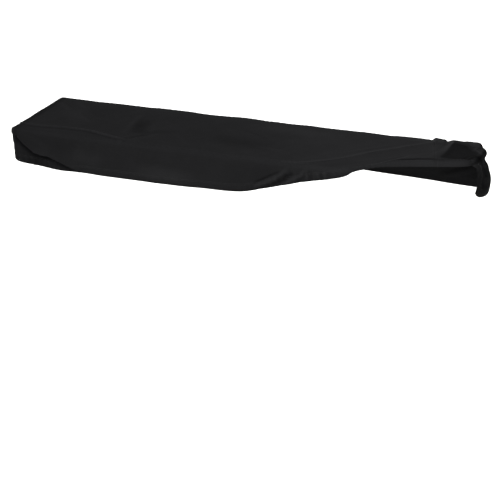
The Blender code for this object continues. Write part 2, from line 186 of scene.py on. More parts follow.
SOFT, DRAWN = Crest.SOFT, Crest.DRAWN
CREASES = (
    Crease("pucker at the seam", -0.332, 0.030, -0.296, 0.048, 1.3, 10, DRAWN),
    Crease("pucker below the seam", -0.318, 0.016, -0.306, -0.006, 1.6, 11),
    Crease("pucker valley", -0.300, 0.040, -0.255, 0.078, -1.8, 12),
    Crease("pucker tail", -0.292, 0.050, -0.215, 0.062, 0.6, 12),
    Crease("front belly", -0.262, -0.082, -0.070, -0.088, 4.0, 34),
    Crease("left corner seam", -END, -0.004, -END, -0.088, 2.4, 9, ends=1.0),
    Crease("front belly's left swell", -0.470, -0.062, -0.360, -0.070, 2.2, 34),
    Crease("left face hollow", -0.615, -0.026, -0.475, -0.040, -1.6, 44, ends=0.7),
    Crease("left face drag", -0.628, -0.012, -0.540, -0.052, 1.0, 14),
    Crease("top dip", -0.322, 0.190, -0.292, 0.080, -3.0, 38),
    Crease("top dip's foot", -0.300, 0.086, -0.180, 0.118, -1.9, 26),
    Crease("top dip's rim", -0.356, 0.215, -0.332, 0.075, 1.0, 18),
    Crease("top swell", -0.560, 0.190, -0.480, 0.110, 2.0, 50),
    Crease("left streak", -0.527, 0.156, -0.459, 0.112, 1.0, 12, DRAWN),
    Crease("left corner drag", -0.640, 0.235, -0.570, 0.190, 1.4, 16, DRAWN),
    Crease("left back drag", -0.600, 0.262, -0.520, 0.205, 0.9, 15),
    Crease("back swell", 0.010, 0.230, 0.250, 0.225, 3.0, 45),
    Crease("back swell's edge", -0.030, 0.205, 0.080, 0.146, -1.4, 14, DRAWN),
    Crease("middle dip", -0.080, 0.120, 0.120, 0.090, -3.0, 60),
    Crease("middle drag", 0.050, 0.100, 0.200, 0.060, 1.0, 16),
    Crease("long drag over the top", 0.120, 0.150, 0.330, 0.200, 0.8, 34),
    Crease("upper rise valley", 0.098, -0.070, 0.146, -0.043, -2.0, 8, ends=0.8),
    Crease("upper rise valley's head", 0.146, -0.043, 0.178, -0.028, -1.4, 8),
    Crease("rise ridge", 0.100, -0.079, 0.160, -0.048, 3.0, 11, ends=0.7),
    Crease("rise ridge's head", 0.160, -0.048, 0.194, -0.022, 2.8, 12, ends=0.5),
    Crease("lower rise valley", 0.103, -0.086, 0.160, -0.063, -2.4, 8, ends=0.7),
    Crease("lower rise valley's head", 0.160, -0.063, 0.207, -0.034, -3.6, 12, ends=0.6),
    Crease("second rise ridge", 0.184, -0.063, 0.228, -0.036, 2.6, 9, ends=0.6),
    Crease("second ridge's head", 0.228, -0.036, 0.249, -0.014, 1.8, 10),
    Crease("valley beyond", 0.208, -0.064, 0.242, -0.038, -2.2, 9),
    Crease("gather a", 0.2500, -0.016, 0.2510, -0.042, 1.7, 6),
    Crease("gather b", 0.2620, -0.016, 0.2660, -0.042, -1.5, 6),
    Crease("gather c", 0.2800, -0.016, 0.2855, -0.036, 1.9, 6),
    Crease("gather d", 0.2900, -0.014, 0.2965, -0.034, -1.6, 6),
    Crease("gather e", 0.2990, -0.012, 0.3070, -0.032, 1.7, 6),
    Crease("gather f", 0.3110, -0.009, 0.3200, -0.029, -1.3, 6),
    Crease("gather g", 0.3260, -0.004, 0.3340, -0.023, 1.1, 7),
    Crease("front right ridge", 0.215, 0.006, 0.308, 0.058, 1.8, 13),
    Crease("long drag ridge", 0.345, 0.100, 0.468, 0.226, 1.2, 18),
    Crease("drag hollow", 0.290, 0.004, 0.380, 0.070, -1.6, 24),
    Crease("drag line a", 0.330, 0.036, 0.430, 0.120, 0.9, 10),
    Crease("drag line b", 0.405, 0.080, 0.490, 0.170, 0.8, 10),
    Crease("drag line c", 0.300, 0.110, 0.420, 0.215, 0.9, 10),
    Crease("left corner seam's head", -END, -0.016, -END, -0.030, 2.2, 14, ends=0.9),
    Crease("left edge's middle", -END, 0.095, -END, 0.175, 1.4, 14, ends=0.3),
    Crease("left edge seam", -END, 0.006, -END, BACK - 0.014, 4.0, 16, ends=1.0),
    Crease("back edge seam", -END + 0.012, BACK, 0.500, BACK, 2.8, 18, ends=1.0),
    Crease("back edge swell", -0.560, BACK - 0.006, 0.150, BACK - 0.006, 1.0, 50, ends=1.0),
    Crease("corner tip", 0.511, BACK, 0.5335, BACK, 9.6, 13, ends=1.0),
    Crease("back edge before the tip", 0.400, BACK, 0.488, BACK, 2.4, 18, ends=0.7),
    Crease("shoulder's back edge", 0.600, BACK + 0.002, 0.632, BACK + 0.002, 3.0, 18, ends=1.0),
    Crease("neck waist", 0.680, 0.246, 0.688, BACK, -6.0, 17, ends=1.0),
    Crease("gathered back edge", 0.552, BACK + 0.002, 0.632, BACK + 0.002, 8.4, 15, ends=1.0),
    Crease("corner seam ridge", 0.545, 0.175, 0.514, 0.260, 0.5, 10),
    Crease("left flank's back", 0.530, 0.200, 0.536, 0.262, 1.2, 22),
    Crease("right flank ridge", 0.604, 0.270, 0.635, 0.238, 2.4, 9, ends=0.8),
    Crease("right flank ridge's foot", 0.635, 0.238, 0.658, 0.219, 2.6, 9, ends=0.7),
    Crease("shoulder", 0.628, 0.256, 0.640, 0.252, 3.0, 26),
    Crease("neck valley", 0.676, 0.206, 0.719, 0.230, -1.4, 9, ends=0.4),
    Crease("neck line", 0.684, 0.214, 0.706, 0.236, -3.0, 5, ends=0.8),
    Crease("neck line's foot", 0.706, 0.236, 0.724, 0.239, -3.0, 5, ends=0.6),
    Crease("neck drag", 0.686, 0.190, 0.718, 0.220, 1.4, 9),
    Crease("lobe", 0.737, 0.250, 0.766, 0.236, 10.0, 34, ends=0.95),
    Crease("lobe fold", 0.700, 0.266, 0.765, 0.262, 2.0, 10),
    Crease("back drag a", 0.640, BACK + 0.030, 0.420, BACK + 0.075, 3.0, 17),
    Crease("back drag b", 0.648, BACK + 0.050, 0.520, BACK + 0.098, -3.0, 14),
    Crease("back drag c", 0.560, BACK + 0.012, 0.300, BACK + 0.040, 1.8, 14),
    Crease("back belly", 0.250, BACK + 0.075, -0.150, BACK + 0.080, 3.5, 30),
    Crease("back left hollow", -0.300, BACK + 0.040, -0.500, BACK + 0.050, -2.5, 40),
    Crease("back left drag", -0.640, BACK + 0.020, -0.560, BACK + 0.060, 1.6, 14, DRAWN),
    Crease("back left drag's twin", -0.642, BACK + 0.044, -0.590, BACK + 0.082, -1.6, 12),
    Crease("left end drag", -END - 0.015, 0.030, -END - 0.070, 0.085, 1.6, 13),
    Crease("left end hollow", -END - 0.050, 0.130, -END - 0.060, 0.200, -2.2, 34),
    Crease("left end back drag", -END - 0.012, 0.255, -END - 0.075, 0.215, 1.5, 13, DRAWN),
)


class Side(Enum):
    """The four sides of a sheet's grid."""

    FIRST = "first"
    LAST = "last"
    HEM = "hem"
    UPPER = "upper"


def level(rows: Sequence, column: str, u: Array) -> Array:
    """Reads a table column at fractional row numbers, on straight lines.

    Args:
        rows: the table.
        column: the column's name.
        u: fractional row numbers.

    Returns:
        The column's values there.
    """
    values = np.array([getattr(row, column) for row in rows])
    return np.interp(u, np.arange(len(rows)), values)


def smooth(rows: Sequence, column: str, u: Array) -> Array:
    """Reads a table column at fractional row numbers, on a soft curve that never overshoots.

    Args:
        rows: the table.
        column: the column's name.
        u: fractional row numbers.

    Returns:
        The column's values there.
    """
    v = np.array([getattr(row, column) for row in rows])
    i = np.clip(u.astype(int), 0, len(rows) - 2)
    f = u - i
    a, b = v[i], v[i + 1]
    before, after = v[np.maximum(i - 1, 0)], v[np.minimum(i + 2, len(rows) - 1)]
    bend = 2 * before - 5 * a + 4 * b - after + f * (3 * (a - b) + after - before)
    curve = a + 0.5 * f * (b - before + f * bend)
    return np.clip(curve, np.minimum(a, b), np.maximum(a, b))


def stations(rows: Sequence, columns: Sequence[str], step: float) -> Array:
    """Spaces a sheet's stations along a table.

    Args:
        rows: the table.
        columns: the columns whose largest change sets the spacing.
        step: the spacing in metres.

    Returns:
        Fractional row numbers.
    """
    found = [np.zeros(1)]
    for i, (a, b) in enumerate(zip(rows, rows[1:])):
        span = max(abs(getattr(b, c) - getattr(a, c)) for c in columns)
        parts = max(2, math.ceil(span / step))
        found.append(i + np.arange(1, parts + 1) / parts)
    return np.concatenate(found)


def fade(distance: Array, reach: float) -> Array:
    """Gives 1 at no distance and 0 at the reach, with level ends."""
    f = np.clip(1.0 - distance / reach, 0.0, 1.0)
    return f * f * (3.0 - 2.0 * f)


def table(at: Array, rows: Sequence[Sequence[float]]) -> Array:
    """Reads a table of (place, value) rows on straight lines."""
    return np.interp(at, *np.array(rows, float).T)


def places_of(rows: Sequence, what: str, u: Array) -> Array:
    """Reads a line's places, such as the hem's, at fractional row numbers.

    Args:
        rows: the table.
        what: the line's name, which its two columns start with.
        u: fractional row numbers.

    Returns:
        Places, as rows of (x, across).
    """
    return np.stack([smooth(rows, f"{what}_x", u), smooth(rows, f"{what}_across", u)], 1)


def run_along(points: Array, weight: Array | float = 1.0) -> Array:
    """Adds up the lengths along a line of points.

    Args:
        points: the line's points.
        weight: what each step's length is multiplied by.

    Returns:
        Each point's distance from the first.
    """
    steps = weight * np.linalg.norm(np.diff(points, axis=0), axis=1)
    return np.concatenate([[0.0], np.cumsum(steps)])


def read_points(at: Array | float, run: Array, points: Array) -> Array:
    """Reads a line of points at distances along it.

    Args:
        at: the distances.
        run: each point's own distance.
        points: the points.

    Returns:
        The points there, with a last axis of 3.
    """
    return np.stack([np.interp(at, run, points[:, k]) for k in range(3)], -1)


def along_segment(points: Array, start: Array, end: Array) -> tuple[Array, Array]:
    """Measures points' distances from a straight line, and how far along it they are.

    Args:
        points: the points.
        start: the line's start.
        end: its end.

    Returns:
        The distances, and shares of the line's length.
    """
    run = end - start
    f = np.clip((points - start) @ run / max(run @ run, 1e-12), 0.0, 1.0)
    return np.linalg.norm(points - start - f[..., None] * run, axis=-1), f


def from_polyline(points: Array, line: Array) -> Array:
    """Measures points' distances from a line through many points.

    Args:
        points: the points.
        line: the line's points.

    Returns:
        The distances.
    """
    best = np.full(points.shape[:-1], np.inf)
    for a, b in zip(line, line[1:]):
        best = np.minimum(best, along_segment(points, a, b)[0])
    return best


class SoftSpot(NamedTuple):
    """A rounder spot at the back right corner: its height, its added radius and its reach."""

    height: float
    more: float
    reach: float


@dataclass(frozen=True)
class Form:
    """The box with rounded edges that the cloth is drawn over, and its drawn-in back corner."""

    edge_radius: float = EDGE_RADIUS
    # What the front's top edge adds to that, at most, and how far from the edge
    front_radius: float = 0.009
    front_flat: float = 0.02
    front_reach: float = 0.075
    # Shares of it along x
    front_soft: tuple[tuple[float, float], ...] = (
        (-END + 0.006, 0.0), (-0.58, 1.0), (0.25, 1.0), (0.45, 0.3),
    )
    soft_spots: tuple[SoftSpot, ...] = (
        SoftSpot(height=-0.028, more=0.024, reach=0.040),
        SoftSpot(height=TOP, more=0.011, reach=0.032),
    )

    def under(self, x: Array, across: Array) -> Array:
        """Finds the sharp-edged form's points under places of the unrolled cloth.

        Args:
            x: places along the length.
            across: places across.

        Returns:
            Points, with a last axis of 3.
        """
        x, across = np.broadcast_arrays(np.asarray(x, float), np.asarray(across, float))
        past_end = np.abs(x) > END
        y = np.clip(across, 0.0, BACK) - HALF_DEPTH
        fall = np.maximum(-across, 0.0) + np.maximum(across - BACK, 0.0)
        px = np.where(past_end, np.copysign(END, x), x)
        py = np.where(past_end, across - HALF_DEPTH, y)
        pz = np.where(past_end, TOP - (np.abs(x) - END), TOP - fall)
        return np.stack([px, py, pz], axis=-1)

    def rounded(self, sharp: Array) -> tuple[Array, Array]:
        """Moves sharp-edged points to the rounded edges.

        Args:
            sharp: points of the sharp-edged form.

        Returns:
            The rounded points, and the ways out from the form there.
        """
        front = np.hypot(sharp[..., 1] + HALF_DEPTH, sharp[..., 2] - TOP)
        soft = table(sharp[..., 0], self.front_soft)
        near = fade(front - self.front_flat, self.front_reach)
        radius = self.edge_radius + self.front_radius * soft * near
        for spot in self.soft_spots:
            away = np.linalg.norm(sharp - np.array((END, HALF_DEPTH, spot.height)), axis=-1)
            radius = radius + spot.more * fade(away, spot.reach)
        core = np.stack([
            np.clip(sharp[..., 0], radius - END, END - radius),
            np.clip(sharp[..., 1], radius - HALF_DEPTH, HALF_DEPTH - radius),
            np.minimum(sharp[..., 2], TOP - radius),
        ], axis=-1)
        out = sharp - core
        out /= np.linalg.norm(out, axis=-1, keepdims=True)
        return core + out * radius[..., None], out


@dataclass(frozen=True)
class Lines:
    """The hem and the seams as lines of points on the form."""

    hem: Array
    seams: tuple[Array, ...]

    @classmethod
    def of(cls, form: Form, spacing: float = 0.008) -> "Lines":
        """Draws the lines from the tables.

        Args:
            form: the form that they lie on.
            spacing: the spacing of their points.

        Returns:
            The lines.
        """
        front = stations(FRONT, ("hem_x", "seam_across"), spacing)
        right = stations(RIGHT, ("hem_x", "top_x"), spacing)
        along = np.linspace(-END, END, 80)
        down = np.linspace(0.0, 1.0, 12)
        hem = [form.under(*places_of(FRONT, "hem", front).T),
               form.under(*places_of(RIGHT, "hem", right).T)]
        last = RIGHT[-1]
        low = bowed((last.hem_x, last.hem_across), (last.mid_x, last.mid_across),
                    (last.top_x, last.top_across))
        hem.append(form.under(*np.array([low(f) for f in down]).T))
        fall = read(BACK_HEM, along[::-1])
        hem.append(form.under(along[::-1], BACK + fall))
        side = np.linspace(BACK, 0.0, 24)
        hem.append(form.under(-END - read(LEFT_HEM, side) - 1e-6, side))
        seam = form.under(*places_of(FRONT, "seam", front).T)
        cross = form.under(np.linspace(FRONT[-1].hem_x, FRONT[-1].seam_x, 24),
                           np.linspace(FRONT[-1].hem_across, FRONT[-1].seam_across, 24))
        back = form.under(along, np.full_like(along, BACK))
        corners = [np.array([[sx * END, sy * HALF_DEPTH, TOP], [sx * END, sy * HALF_DEPTH, -0.13]])
                   for sx, sy in ((-1, -1), (-1, 1), (1, 1))]
        left = form.under(np.full(24, -END), np.linspace(0.0, BACK, 24))
        return cls(np.concatenate(hem), (seam, cross, back, left, *corners))


def read(rows: Sequence[Hang], at: Array) -> Array:
    """Reads how far a skirt hangs at places along it."""
    return np.interp(at, [row.place for row in rows], [row.fall for row in rows])


def bowed(start: Sequence[float], middle: Sequence[float],
          end: Sequence[float]) -> Callable[[float], Array]:
    """Makes a path over the cloth that passes a middle place half-way.

    Args:
        start: its first place.
        middle: its place half-way.
        end: its last place.

    Returns:
        A function from 0 to 1 to a place.
    """
    places = np.array([start, middle, end], float)

    def path(f: float) -> Array:
        """Gives the place at a share of the path."""
        return np.array([(1 - f) * (1 - 2 * f), 4 * f * (1 - f), f * (2 * f - 1)]) @ places

    return path


def straight(start: Sequence[float], end: Sequence[float]) -> Callable[[float], Array]:
    """Makes a straight path over the cloth, from 0 to 1."""
    a, b = np.array(start, float), np.array(end, float)
    return lambda f: a + f * (b - a)


@dataclass
class Drape:
    """Lifts the cloth off its form: folds, hem, puckers and unevenness."""

    form: Form
    lines: Lines
    # The fold at the lower left front: distance below its line, how far the cloth goes in under
    # the fold, and how far it is set back
    turn: tuple[tuple[float, float, float], ...] = (
        (0.0, 0.0, 0.0), (0.0022, 0.0055, 0.0020), (0.0050, 0.0085, 0.0045),
        (0.010, 0.0075, 0.0060), (0.016, 0.0040, 0.0064), (0.024, 0.0, 0.0066),
        (0.060, 0.0, 0.0080),
    )
    turn_at_end: tuple[tuple[float, float], ...] = ((-END, 0.15), (-END + 0.022, 1.0))
    turn_set_back: tuple[tuple[float, float], ...] = (
        (-END, 0.0), (-END + 0.075, 1.0), (-0.53, 0.4), (-0.46, 0.1),
    )
    turn_run_out: float = 0.05
    turn_lip: float = 0.0016
    turn_lip_reach: float = 0.009
    turn_drop: float = 0.0034
    turn_end_fade: float = 0.040
    # How far the hem curls in, and the ridge beside the seams, with its shares along x
    curl: float = 0.0024
    curl_reach: float = 0.010
    seam_ridge: float = 0.0030
    seam_ridge_reach: float = 0.014
    seam_shown: tuple[tuple[float, float], ...] = (
        (-END, 0.4), (-0.62, 0.8), (-0.42, 0.9), (-0.335, 0.8), (-0.295, 0.12), (0.17, 0.15),
        (0.25, 1.0), (0.46, 1.0), (0.52, 0.6),
    )
    seam_pucker: float = 0.00022
    # The hem's turned band, its stitched groove and its gathers, with their shares along x
    hem_band: float = 0.024
    hem_step: float = 0.0005
    hem_groove: float = 0.0004
    hem_gather: float = 0.0007
    gather_pitch: float = 0.017
    gather_shown: tuple[tuple[float, float], ...] = (
        (-0.56, 0.9), (-0.42, 0.3), (0.08, 0.3), (0.16, 1.0),
    )
    gather_at_back: float = 0.8
    # Long waves of slack: turns per metre along x, y and z, a phase and a share
    uneven: float = 0.0006
    waves: tuple[tuple[float, float, float, float, float], ...] = (
        (21.0, 13.0, 9.0, 0.3, 1.0), (-33.0, 27.0, 16.0, 1.7, 0.7),
        (47.0, -38.0, 30.0, 4.1, 0.45), (71.0, 66.0, -41.0, 2.2, 0.28),
        (-118.0, 95.0, 77.0, 5.2, 0.14),
    )
    # The tilted facet beside the back corner: its ridge, the ridge's rise and the foot's fall,
    # with their shares along y, and its painted shade, which darkens the facet where it faces away
    # from the light
    facet_ridge_x: float = 0.5625
    facet_rise: float = 0.0070
    facet_fall: float = 0.0120
    facet_width: float = 0.038
    facet_slant: float = 0.90
    facet_slant_to: float = 0.09
    facet_rise_share: tuple[tuple[float, float], ...] = ((0.02, 0.45), (0.06, 0.60), (0.12, 1.0))
    facet_fall_share: tuple[tuple[float, float], ...] = ((0.05, 0.8), (0.12, 0.1))
    facet_share: tuple[tuple[float, float], ...] = (
        (0.0, 0.0), (0.022, 1.0), (HALF_DEPTH - 0.022, 1.0), (HALF_DEPTH - 0.004, 0.25),
    )
    facet_painted_shading: float = -0.42
    facet_shading_share: tuple[tuple[float, float], ...] = (
        (0.004, 0.0), (0.018, 1.0), (HALF_DEPTH - 0.006, 1.0), (HALF_DEPTH, 0.4),
    )
    # Both fade over the end's edge, along x
    facet_to_end: tuple[tuple[float, float], ...] = (
        (END - 0.030, 1.0), (END, 0.35), (END + 0.020, 0.0),
    )
    facet_shading_to_end: tuple[tuple[float, float], ...] = (
        (END - 0.012, 1.0), (END - 0.001, 0.50), (END + 0.014, 0.25), (END + 0.034, 0.0),
    )
    # Where the corner seam crosses the facet: y and x
    corner_seam: tuple[tuple[float, float], ...] = (
        (-0.0387, 0.572), (0.0203, 0.551), (0.0469, 0.542), (0.1088, 0.5095), (0.1287, 0.512),
    )
    # The drawn-back hem's roll on the top, with a lip and then plain: distance in from the hem,
    # height and painted shading, a painted shadow line in the groove and painted light on the
    # band's face
    lip_roll: tuple[tuple[float, float, float], ...] = (
        (0.000, -0.0010, 0.10), (0.005, 0.0040, 0.16), (0.011, 0.0070, 0.14),
        (0.018, 0.0086, 0.06), (0.025, 0.0088, -0.08), (0.030, 0.0078, -0.30),
        (0.0335, 0.0070, -0.55), (0.036, 0.0084, -0.25), (0.039, 0.0098, 0.10),
        (0.046, 0.0095, 0.05), (0.058, 0.0075, 0.0), (0.078, 0.0040, 0.0), (0.105, 0.0, 0.0),
    )
    plain_roll: tuple[tuple[float, float, float], ...] = (
        (0.000, -0.0010, 0.10), (0.004, 0.0045, 0.18), (0.009, 0.0080, 0.12),
        (0.016, 0.0101, -0.14), (0.022, 0.0106, -0.32), (0.0265, 0.0098, -0.36),
        (0.030, 0.0066, -0.30), (0.0335, 0.0050, -0.15), (0.043, 0.0048, 0.0),
        (0.062, 0.0030, 0.0), (0.090, 0.0, 0.0),
    )
    roll_from: float = 0.405
    roll_fade: float = 0.070
    plain_from: float = 0.545
    plain_fade: float = 0.035
    roll_width: tuple[tuple[float, float], ...] = (
        (0.43, 0.30), (0.455, 0.50), (0.485, 0.85), (0.515, 1.0),
    )
    # How pale the cloth is drawn: painted light that grows paler towards the right along x, less of
    # it where a side hangs down, and what lift makes it a whole shade paler on a fold and beside a
    # seam, where the knit greys and painted light falls, or darker under the turned fold, as
    # painted shade
    painted_light_along_x: tuple[tuple[float, float], ...] = (
        (-0.45, 0.36), (-0.10, 0.41), (0.10, 0.46), (0.30, 0.56),
    )
    painted_light_less_hanging: tuple[tuple[float, float], ...] = ((-0.05, 0.0), (0.12, 0.10))
    hanging_reach: float = 0.03
    # Painted light on fold and seam ridges and painted shade in their hollows, with the knit's
    # greying
    fold_light_and_shade: float = 0.022
    # Painted shade under the turned fold
    turn_painted_shade: float = 0.026
    seam_light_and_shade: float = 0.014
    least_wear_and_light: float = 0.06

    def folds(self, sharp: Array) -> Array:
        """Sums the creases' rises.

        Args:
            sharp: points of the form.

        Returns:
            How far the creases lift the cloth there.
        """
        rise = np.zeros(sharp.shape[:-1])
        for c in CREASES:
            start = self.form.under(c.x0, c.across0)
            end = self.form.under(c.x1, c.across1)
            away, f = along_segment(sharp, start, end)
            reach = c.reach_mm / 1000
            if c.crest is Crest.DRAWN:
                shape = np.clip(1.0 - away / reach, 0.0, 1.0) ** 2
                shape = 0.65 * shape + 0.35 * fade(away, reach)
            else:
                shape = fade(away, reach)
            full = 1.0 - (1.0 - c.ends) * np.abs(2.0 * f - 1.0) ** 2.2
            rise += c.rise_mm / 1000 * shape * full
        return rise

    def turned(self, sharp: Array) -> tuple[Array, Array, Array]:
        """Shapes the fold at the lower left front.

        Args:
            sharp: points of the form.

        Returns:
            How far the cloth goes in, stands out and slips down.
        """
        line = TOP + np.interp(sharp[..., 0], [t.x for t in TURN], [t.across for t in TURN])
        below = line - sharp[..., 2]
        here = fade(sharp[..., 1] + HALF_DEPTH, self.turn_end_fade)
        here *= np.clip((TURN[-1].x - sharp[..., 0]) / self.turn_run_out, 0.0, 1.0)
        profile = np.array(self.turn)
        into = np.interp(below, profile[:, 0], profile[:, 1])
        into *= table(sharp[..., 0], self.turn_at_end)
        set_back = np.interp(below, profile[:, 0], profile[:, 2])
        into += set_back * table(sharp[..., 0], self.turn_set_back)
        lip = fade(np.maximum(-below, 0.0), self.turn_lip_reach)
        lip *= 1.0 - np.clip(below / self.turn[1][0], 0.0, 1.0)
        return into * here, self.turn_lip * lip * here, self.turn_drop * lip * here

    def corner_facet(self, sharp: Array) -> tuple[Array, Array]:
        """Tilts the drawn-back cloth beside the back corner, from a ridge down to its foot.

        Args:
            sharp: points of the form.

        Returns:
            How far the cloth is lifted there, and its painted shading: painted shade over the facet
            and past its foot, painted light along its ridge.
        """
        y = sharp[..., 1]
        x = sharp[..., 0] + (sharp[..., 0] > END - 1e-5) * (TOP - sharp[..., 2])
        ridge_x = self.facet_ridge_x
        slant = np.clip(HALF_DEPTH - y, 0.0, self.facet_slant_to) * self.facet_slant
        foot_x = ridge_x + self.facet_width + slant
        f = (x - ridge_x) / (foot_x - ridge_x)
        rise = self.facet_rise * table(y, self.facet_rise_share)
        fall = self.facet_fall * table(y, self.facet_fall_share)
        plane = np.where(f < 0.0, rise * fade(-f, 0.30), 0.0)
        plane += np.where(f >= 0.0, rise - (rise + fall) * np.clip(f, 0.0, 1.0), 0.0)
        plane *= fade(f - 1.0, 0.22)
        on_top = np.abs(y) < HALF_DEPTH - 0.0005
        here = table(y, self.facet_share) * on_top * table(x, self.facet_to_end)
        inside = np.clip(f / 0.05, 0.0, 1.0) * np.clip((1.02 - f) / 0.07, 0.0, 1.0)
        # Painted shade over the facet, painted light beside its ridge, and more painted shade past
        # the corner seam and beyond the foot
        tone = self.facet_painted_shading * inside * table(y, self.facet_shading_share)
        tone *= table(x, self.facet_shading_to_end)
        edge = np.where(f < 0.02, fade(np.abs(f + 0.06), 0.16), 0.0)
        tone += 0.22 * edge * np.interp(y, (0.04, 0.12), (0.0, 1.0))
        seam_x = np.interp(y, *np.array(self.corner_seam).T)
        tone -= 0.06 * np.clip((x - seam_x) / 0.003, 0.0, 1.0) * (f < 0.0)
        tone -= 0.18 * np.clip((f - 1.0) / 0.05, 0.0, 1.0) * (sharp[..., 2] > TOP - 0.0005)
        return plane * here, tone * on_top

    def hem_shape(self, sharp: Array, to_hem: Array) -> tuple[Array, Array]:
        """Shapes the hem's band, its stitched groove, its gathers and its roll on the top.

        Args:
            sharp: points of the form.
            to_hem: their distances from the hem.

        Returns:
            How far the cloth is lifted there, and its painted shading on the roll.
        """
        x = sharp[..., 0]
        on_top = np.clip((x - self.roll_from) / self.roll_fade, 0.0, 1.0)
        on_top = on_top * on_top * (3 - 2 * on_top) * (sharp[..., 1] < HALF_DEPTH - 0.001)
        end_face = np.clip((TOP - 0.004 - sharp[..., 2]) / 0.03, 0.0, 1.0) * (x > END - 0.012)
        on_top = on_top * (1.0 - 0.65 * end_face)
        width = table(x, self.roll_width)
        plain = np.clip((x - self.plain_from) / self.plain_fade, 0.0, 1.0)
        lip_at, lip_height, lip_tone = np.array(self.lip_roll).T
        plain_at, plain_height, plain_tone = np.array(self.plain_roll).T
        inward = to_hem / width
        roll = ((1.0 - plain) * np.interp(inward, lip_at, lip_height)
                + plain * np.interp(inward, plain_at, plain_height))
        # Painted shadow in the roll's groove and painted light on the band's face
        tone = ((1.0 - plain) * np.interp(inward, lip_at, lip_tone)
                + plain * np.interp(inward, plain_at, plain_tone))
        band = self.hem_step * np.clip((self.hem_band - to_hem) / 0.0015, 0.0, 1.0)
        groove = self.hem_groove * fade(np.abs(to_hem - self.hem_band + 0.001), 0.0022)
        along = x + 0.8 * sharp[..., 1] - 0.6 * sharp[..., 2] * (np.abs(x) > END - 0.001)
        phase = 2 * np.pi * along / self.gather_pitch + 1.9 * np.sin(along * 31.0)
        strength = 0.55 + 0.45 * np.sin(along * 17.0 + 0.8)
        shown = table(x, self.gather_shown)
        shown = np.where(sharp[..., 1] > HALF_DEPTH - 0.001, self.gather_at_back, shown)
        gather = self.hem_gather * shown * np.sin(phase) * strength
        gather = gather * fade(to_hem, self.hem_band * 1.9) * (1.0 - 0.6 * on_top)
        return roll * on_top + band - groove + gather, tone * on_top

    def seam_shape(self, sharp: Array) -> Array:
        """Raises the cloth beside its seams, with small puckers along them.

        Args:
            sharp: points of the form.

        Returns:
            How far the cloth is lifted there.
        """
        front_seam = self.lines.seams[0]
        x = sharp[..., 0]
        away = from_polyline(sharp, front_seam)
        shown = table(x, self.seam_shown)
        behind = sharp[..., 1] + HALF_DEPTH - np.interp(x, [r.seam_x for r in FRONT],
                                                        [r.seam_across for r in FRONT])
        drawn = np.clip((x - 0.22) / 0.06, 0.0, 1.0)
        groove = -0.55 * (1.0 - drawn)
        drop = np.interp(-away, (-0.016, -0.0060, 0.0), (0.0, 1.0, 0.0)) * groove
        drop += np.interp(-away / (1.0 + drawn), (-0.0055, -0.0030, 0.0), (0.0, 0.25, 1.0))
        reach = self.seam_ridge_reach * (1.0 + 0.5 * drawn)
        ridge = np.where(behind > 0.0, fade(away / reach, 1.0), drop)
        ridge = self.seam_ridge * shown * ridge * (1.0 - 0.25 * drawn)
        near = np.minimum.reduce([from_polyline(sharp, line) for line in self.lines.seams])
        along = x + 0.9 * sharp[..., 1] + 0.7 * sharp[..., 2]
        pucker = np.sin(along * 420.0 + 2.0 * np.sin(along * 53.0))
        return ridge + self.seam_pucker * pucker * fade(near, self.seam_ridge_reach)

    def seam_depth(self, edge: Array) -> Array:
        """Gives how deep a seam's groove is along a sheet's edge.

        Args:
            edge: places along the edge.

        Returns:
            Shares of the full depth.
        """
        flat = np.interp(edge[:, 0], (-0.40, -0.26, 0.20, 0.30), (0.8, 0.18, 0.18, 0.12))
        on_front_seam = (edge[:, 1] > -0.02) & (edge[:, 1] < 0.26) & (edge[:, 0] > -END + 0.002)
        return np.where(on_front_seam, flat, 0.7)

    def unevenness(self, sharp: Array) -> Array:
        """Adds the cloth's slack, as a few long waves that run different ways.

        Args:
            sharp: points of the form.

        Returns:
            How far the cloth is lifted there.
        """
        total = np.zeros(sharp.shape[:-1])
        for kx, ky, kz, phase, share in self.waves:
            turn = sharp @ np.array([kx, ky, kz]) + phase
            total += share * np.sin(turn + 0.7 * np.sin(0.37 * turn))
        return self.uneven * total

    def lay(self, x: Array, across: Array, depth: Array,
            pulled: Array | None = None) -> tuple[Array, Array]:
        """Lays places of the unrolled cloth in space.

        Args:
            x: places along the length.
            across: places across.
            depth: how far each is turned in at a seam.
            pulled: the ways out to turn in along, where they aren't the places' own.

        Returns:
            The points, and how pale each is drawn, from 0 in a hollow to 1 on a ridge: the knit's
            greying with painted light and shade.
        """
        sharp = self.form.under(x, across)
        base, out = self.form.rounded(sharp)
        to_hem = from_polyline(sharp, self.lines.hem)
        into, lip, drop = self.turned(sharp)
        on_top = np.clip((sharp[..., 0] - self.roll_from) / self.roll_fade, 0.0, 1.0)
        curl = self.curl * fade(to_hem, self.curl_reach) * (1.0 - 0.8 * on_top)
        folds, beside_seam = self.folds(sharp), self.seam_shape(sharp)
        facet, facet_painted_shading = self.corner_facet(sharp)
        hem, hem_painted_shading = self.hem_shape(sharp, to_hem)
        lift = folds + facet + lip + hem + beside_seam
        lift += self.unevenness(sharp) - np.maximum(into, curl)
        way = out if pulled is None else pulled
        points = base + out * lift[..., None] - way * depth[..., None]
        points[..., 2] -= drop
        # Painted light, paler towards the right, with less of it on the hanging sides
        drawn = table(sharp[..., 0], self.painted_light_along_x)
        hanging = np.clip((TOP - sharp[..., 2]) / self.hanging_reach, 0.0, 1.0)
        drawn -= table(sharp[..., 0], self.painted_light_less_hanging) * hanging
        # Paler on ridges and darker in hollows: the knit's greying plus painted light and shade;
        # painted shade under the turned fold, over the corner facet and in the roll's groove
        wear_and_light = (drawn + folds / self.fold_light_and_shade - into / self.turn_painted_shade
                + beside_seam / self.seam_light_and_shade + facet_painted_shading + hem_painted_shading)
        return points, np.clip(wear_and_light, self.least_wear_and_light, 1.0)


